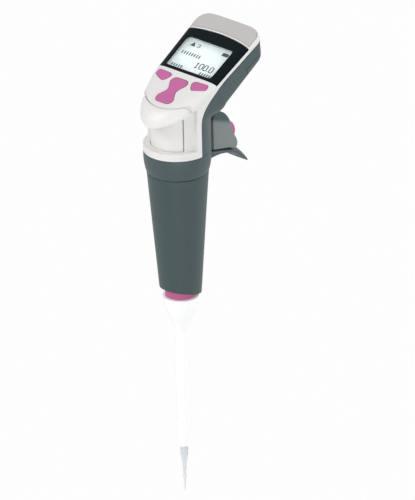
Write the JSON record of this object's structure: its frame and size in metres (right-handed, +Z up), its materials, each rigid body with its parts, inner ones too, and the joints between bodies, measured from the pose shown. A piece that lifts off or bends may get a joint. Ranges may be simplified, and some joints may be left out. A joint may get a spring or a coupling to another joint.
{
  "type": "electronic pipette",
  "caption": "Electronic pipette with a tilted display head, thumb ejector hood, turning finger rest with trigger, tapered grip, ejector sleeve and fitted tip.",
  "frame": {"origin": "on the pipette's axis, in the plane where the finger rest turns under the housing", "axes": "+Z up along the pipette's axis, -Y towards the keys and thumb hood, +Y towards the hook, +X to the right seen from the front"},
  "size_m": [0.0466, 0.0727, 0.2656],
  "materials": {
    "front_white": "satin moulded white",
    "shell_dark": "fine grained dark grey",
    "crown_grey": "satin warm grey",
    "bezel_black": "gloss black",
    "lens_clear": "clear window",
    "lcd_cell": "pale lit display",
    "key_pink": "satin magenta pink",
    "block_grey": "satin mid grey",
    "tip_clear": "clear polypropylene",
    "inner_plastic": "moulded, inside",
    "inner_steel": "ground",
    "plate_metal": "rolled",
    "board_green": "solder mask",
    "chip_black": "moulded black",
    "battery_wrap": "shrink wrap",
    "cable_amber": "flat flexible cable",
    "contact_gold": "plated",
    "dark_rubber": "soft"
  },
  "bodies": {
    "housing": {"front_housing": "front_white", "rear_housing": "shell_dark", "crown_panel": "crown_grey", "display_bezel": "bezel_black", "display_lens": "lens_clear", "lcd_module": "lcd_cell", "lcd_frame": "inner_plastic", "keypad_mat": "dark_rubber", "main_board": "board_green", "controller_chip": "chip_black", "memory_chip": "chip_black", "buzzer": "chip_black", "cable_plug": "inner_plastic", "motor_cable": "cable_amber", "battery_pack": "battery_wrap", "charge_contact_left": "contact_gold", "charge_contact_right": "contact_gold", "housing_screw_left": "inner_steel", "housing_screw_right": "inner_steel", "neck_tube": "inner_plastic", "grip_shell": "shell_dark", "motor_cap": "plate_metal", "motor_can": "plate_metal", "motor_flange": "plate_metal", "motor_bracket": "plate_metal", "motor_screw_left": "inner_steel", "motor_screw_right": "inner_steel", "cone_frame": "inner_plastic", "cone_nut": "inner_steel", "tip_cone": "inner_plastic", "piston_seal": "dark_rubber", "seal_retainer": "inner_steel", "seal_spring": "inner_steel", "ejector_spring": "inner_steel"},
    "cover": {"battery_cover": "shell_dark"},
    "left_key": {"key_left": "key_pink"},
    "right_key": {"key_right": "key_pink"},
    "scroll_key": {"key_scroll": "key_pink"},
    "finger_support": {"finger_rest": "shell_dark", "trigger_block": "block_grey", "trigger_switch": "chip_black", "trigger_spring": "inner_steel"},
    "trigger": {"trigger_button": "key_pink"},
    "ejector": {"ejector_hood": "front_white", "ejector_stem": "front_white", "ejector_rod": "inner_steel", "ejector_sleeve": "front_white", "colour_ring": "key_pink"},
    "tip": {"disposable_tip": "tip_clear"},
    "rotor": {"motor_rotor": "inner_steel"},
    "plunger": {"lead_screw": "inner_steel", "piston_holder": "inner_plastic", "piston": "inner_steel"}
  },
  "joints": [
    {"name": "battery_cover_slide", "type": "slide", "parent": "housing", "child": "cover", "axis": [0, 0.887, 0.4617], "range_m": [0, 0.015]},
    {"name": "left_key_press", "type": "slide", "parent": "housing", "child": "left_key", "axis": [0, 0.3907, -0.9205], "range_m": [0, 0.0007], "stiffness_N_per_m": 800, "springref_m": -0.0005},
    {"name": "right_key_press", "type": "slide", "parent": "housing", "child": "right_key", "axis": [0, 0.3907, -0.9205], "range_m": [0, 0.0007], "stiffness_N_per_m": 800, "springref_m": -0.0005},
    {"name": "scroll_key_rock", "type": "hinge", "parent": "housing", "child": "scroll_key", "pos_m": [0, -0.0023, 0.0346], "axis": [1, 0, 0], "range_deg": [-3, 3], "stiffness_Nm_per_rad": 0.05},
    {"name": "finger_rest_turn", "type": "hinge", "parent": "housing", "child": "finger_support", "pos_m": [0, 0, 0], "axis": [0, 0, 1], "range_deg": [-60, 60]},
    {"name": "trigger_press", "type": "slide", "parent": "finger_support", "child": "trigger", "axis": [0, -1, 0], "range_m": [0, 0.0016], "stiffness_N_per_m": 500, "springref_m": -0.001, "deforming": ["trigger_spring"]},
    {"name": "ejector_slide", "type": "slide", "parent": "housing", "child": "ejector", "axis": [0, 0, -1], "range_m": [0, 0.0085], "stiffness_N_per_m": 400, "springref_m": -0.006, "deforming": ["ejector_spring"]},
    {"name": "tip_slide", "type": "slide", "parent": "housing", "child": "tip", "axis": [0, 0, -1], "range_m": [0, 0.0086]},
    {"name": "rotor_spin", "type": "hinge", "parent": "housing", "child": "rotor", "pos_m": [0, 0, 0], "axis": [0, 0, 1], "range_deg": [0, 2526]},
    {"name": "piston_slide", "type": "slide", "parent": "housing", "child": "plunger", "axis": [0, 0, -1], "range_m": [0, 0.014]}
  ],
  "couplings": [
    {"joint": "tip_slide", "follows": "ejector_slide", "ratio": 1},
    {"joint": "rotor_spin", "follows": "piston_slide", "rad_per_m": 3141.6}
  ]
}
